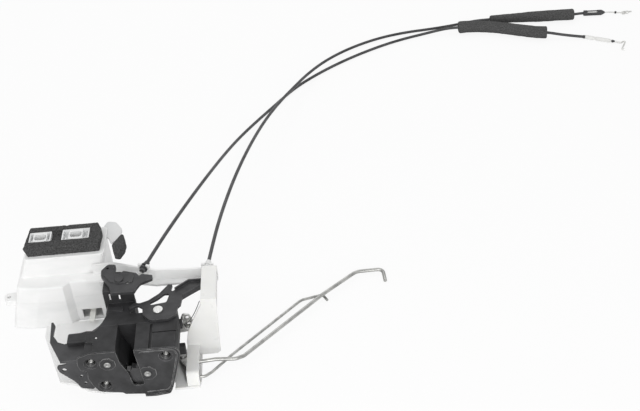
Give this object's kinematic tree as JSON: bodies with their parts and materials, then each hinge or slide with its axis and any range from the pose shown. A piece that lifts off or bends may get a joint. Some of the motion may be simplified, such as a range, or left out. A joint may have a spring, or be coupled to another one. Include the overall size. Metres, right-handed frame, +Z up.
{
  "type": "door latch actuator",
  "caption": "Car door latch with claw and pawl, power lock actuator case, two lever rods and two sleeved Bowden cables, lying on its side.",
  "frame": {"origin": "middle of the foot print of the latch, its case and its rods, on the surface it lies on; the cables and what is on them are left out", "axes": "-Y is the outward normal of the mounting face with the three screw holes, +Z points up from the surface the latch lies on, +X towards the rods"},
  "size_m": [0.8493, 0.7054, 0.095],
  "materials": {
    "black_steel": "black electro-coated pressed steel, satin",
    "zinc_steel": "zinc-plated steel",
    "overmoulded_claw": "black plastic moulded over steel",
    "black_nylon": "black glass-filled nylon",
    "spring_steel": "oiled spring wire",
    "rubber": "black rubber buffer",
    "zinc_rod": "bright zinc-plated wire rod",
    "white_plastic": "natural white polypropylene",
    "grey_plastic": "light grey plastic",
    "tin": "tinned terminals",
    "black_foam": "black open-cell foam",
    "motor_steel": "plated motor can",
    "brass": "brass worm",
    "natural_acetal": "natural acetal gear",
    "shield_plastic": "thin translucent white plastic",
    "cable_jacket": "black cable jacket",
    "pale_fitting": "pale plastic and wire end"
  },
  "bodies": {
    "latch": {"cover_plate": "black_steel", "mount_nuts": "zinc_steel", "claw_pivot": "zinc_steel", "pawl_pivot": "zinc_steel", "latch_body": "black_nylon", "rear_housing": "black_nylon", "claw_spring": "spring_steel", "striker_bumper": "rubber", "back_plate": "zinc_steel", "guide_rivets": "zinc_steel", "side_bracket": "black_steel", "open_lever_rivet": "zinc_steel", "stop_pin": "zinc_steel", "spring_post": "zinc_steel", "lever_spring": "spring_steel", "inside_lever_pin": "black_steel", "rod_lever_pin": "zinc_steel", "actuator_housing": "white_plastic", "actuator_cover": "white_plastic", "connector_shrouds": "grey_plastic", "connector_terminals": "tin", "connector_foam": "black_foam", "motor": "motor_steel", "wheel_pin": "zinc_steel", "sector_pin": "zinc_steel", "position_switch": "black_nylon", "cable_bracket": "white_plastic", "inside_cable_ferrule": "black_nylon", "open_cable_ferrule": "white_plastic", "water_shield": "shield_plastic", "foam_pad": "black_foam", "pad_arm": "grey_plastic", "inside_cable_jacket": "cable_jacket", "open_cable_jacket": "cable_jacket", "inside_cable_sleeve": "black_foam", "open_cable_sleeve": "black_foam", "inside_cable_tail": "cable_jacket", "open_cable_tail": "cable_jacket", "inside_cable_end": "pale_fitting", "open_cable_end": "pale_fitting"},
    "claw_body": {"claw": "overmoulded_claw"},
    "pawl_body": {"pawl": "overmoulded_claw"},
    "slide_body": {"release_slide": "zinc_steel"},
    "open_lever_body": {"open_lever": "black_steel"},
    "open_wire_body": {"open_cable_wire": "zinc_rod"},
    "inside_lever_body": {"inside_lever": "black_steel", "cable_barrel": "zinc_steel"},
    "inside_wire_body": {"inside_cable_wire": "zinc_rod"},
    "key_lever_body": {"key_lever": "zinc_steel"},
    "key_rod_body": {"key_rod": "zinc_rod"},
    "outside_lever_body": {"outside_lever": "zinc_steel"},
    "outside_rod_body": {"outside_rod": "zinc_rod"},
    "worm_body": {"worm": "brass"},
    "wheel_body": {"worm_wheel": "natural_acetal"},
    "sector_body": {"lock_sector": "natural_acetal"}
  },
  "joints": [
    {"name": "claw_turn", "type": "hinge", "parent": "latch", "child": "claw_body", "pos_m": [-0.0455, -0.09295, 0.0334], "axis": [0, -1, 0], "range_deg": [0, 62]},
    {"name": "pawl_turn", "type": "hinge", "parent": "latch", "child": "pawl_body", "pos_m": [-0.0835, -0.09295, 0.0509], "axis": [0, 1, 0], "range_deg": [0, 8]},
    {"name": "release_slide_travel", "type": "slide", "parent": "latch", "child": "slide_body", "axis": [-1, 0, 0], "range_m": [0, 0.00328]},
    {"name": "open_lever_turn", "type": "hinge", "parent": "latch", "child": "open_lever_body", "pos_m": [-0.0326, -0.04495, 0.067], "axis": [0, 0, 1], "range_deg": [0, 12]},
    {"name": "open_wire_pull", "type": "slide", "parent": "latch", "child": "open_wire_body", "axis": [0.134, 0.991, 0], "range_m": [0, 0.009]},
    {"name": "inside_lever_turn", "type": "hinge", "parent": "latch", "child": "inside_lever_body", "pos_m": [-0.0725, -0.01295, 0.084], "axis": [0, 0, 1], "range_deg": [0, 26]},
    {"name": "inside_wire_pull", "type": "slide", "parent": "latch", "child": "inside_wire_body", "axis": [0.3469, 0.9379, 0], "range_m": [0, 0.0047]},
    {"name": "key_lever_turn", "type": "hinge", "parent": "latch", "child": "key_lever_body", "pos_m": [-0.0145, -0.05595, 0.005], "axis": [0, 0, 1], "range_deg": [0, 15]},
    {"name": "key_rod_swivel", "type": "hinge", "parent": "key_lever_body", "child": "key_rod_body", "pos_m": [-0.007, -0.08615, 0.005], "axis": [0, 0, 1], "range_deg": [-15, 0]},
    {"name": "outside_lever_turn", "type": "hinge", "parent": "latch", "child": "outside_lever_body", "pos_m": [-0.0145, -0.05595, 0.01], "axis": [0, 0, 1], "range_deg": [0, 15]},
    {"name": "outside_rod_swivel", "type": "hinge", "parent": "outside_lever_body", "child": "outside_rod_body", "pos_m": [-0.007, -0.07115, 0.01], "axis": [0, 0, 1], "range_deg": [-15, 0]},
    {"name": "worm_turn", "type": "hinge", "parent": "latch", "child": "worm_body", "pos_m": [-0.154, 0.06315, 0.024], "axis": [1, 0, 0], "continuous": true},
    {"name": "lock_sector_turn", "type": "hinge", "parent": "latch", "child": "sector_body", "pos_m": [-0.118, 0.04205, 0.03], "axis": [0, 0, 1], "range_deg": [-12, 12]},
    {"name": "worm_wheel_turn", "type": "hinge", "parent": "latch", "child": "wheel_body", "pos_m": [-0.153, 0.04205, 0.026], "axis": [0, 0, 1], "range_deg": [-55.2, 55.2]}
  ],
  "couplings": [
    {"joint": "pawl_turn", "follows": "open_lever_turn", "ratio": 0.66667},
    {"joint": "release_slide_travel", "follows": "open_lever_turn", "m_per_rad": 0.015661},
    {"joint": "open_wire_pull", "follows": "open_lever_turn", "m_per_rad": 0.042972},
    {"joint": "inside_wire_pull", "follows": "inside_lever_turn", "m_per_rad": 0.010357},
    {"joint": "key_rod_swivel", "follows": "key_lever_turn", "ratio": -1},
    {"joint": "outside_rod_swivel", "follows": "outside_lever_turn", "ratio": -1},
    {"joint": "worm_wheel_turn", "follows": "lock_sector_turn", "ratio": -4.6}
  ]
}
